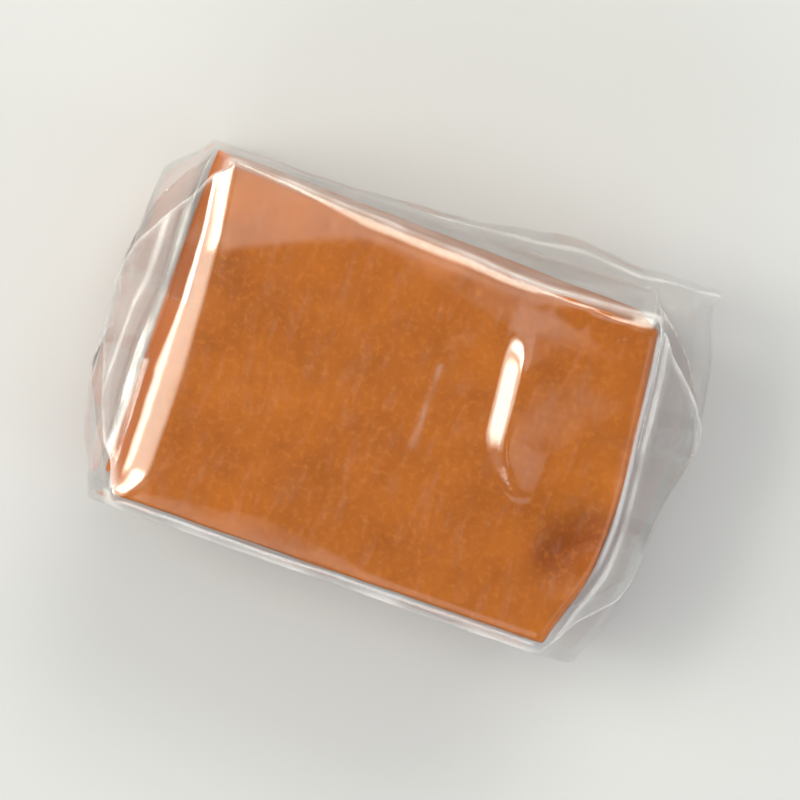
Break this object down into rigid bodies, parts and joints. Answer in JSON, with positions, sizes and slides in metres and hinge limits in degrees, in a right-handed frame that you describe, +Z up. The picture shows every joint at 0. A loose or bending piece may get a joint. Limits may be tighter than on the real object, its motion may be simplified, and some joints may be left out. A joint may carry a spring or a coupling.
{
  "type": "wrapped caramel candy",
  "caption": "Soft rectangular caramel in a clear film wrapper, folded flat at both ends and lapped underneath.",
  "frame": {"origin": "middle of the wrapped sweet's underside, on the surface that it lies on", "axes": "+X along the sweet, towards the end that bulges; +Y across it, towards the side where the film is loose; +Z up, through the thickness"},
  "size_m": [0.0336, 0.0224, 0.014],
  "materials": {
    "caramel": "soft caramel: smooth, satin, faintly mottled, with the marks of a ribbed belt underneath",
    "film": "clear glossy cellulose film, creased at the folds"
  },
  "bodies": {
    "root": {"caramel": "caramel", "wrapper": "film"}
  },
  "joints": []
}
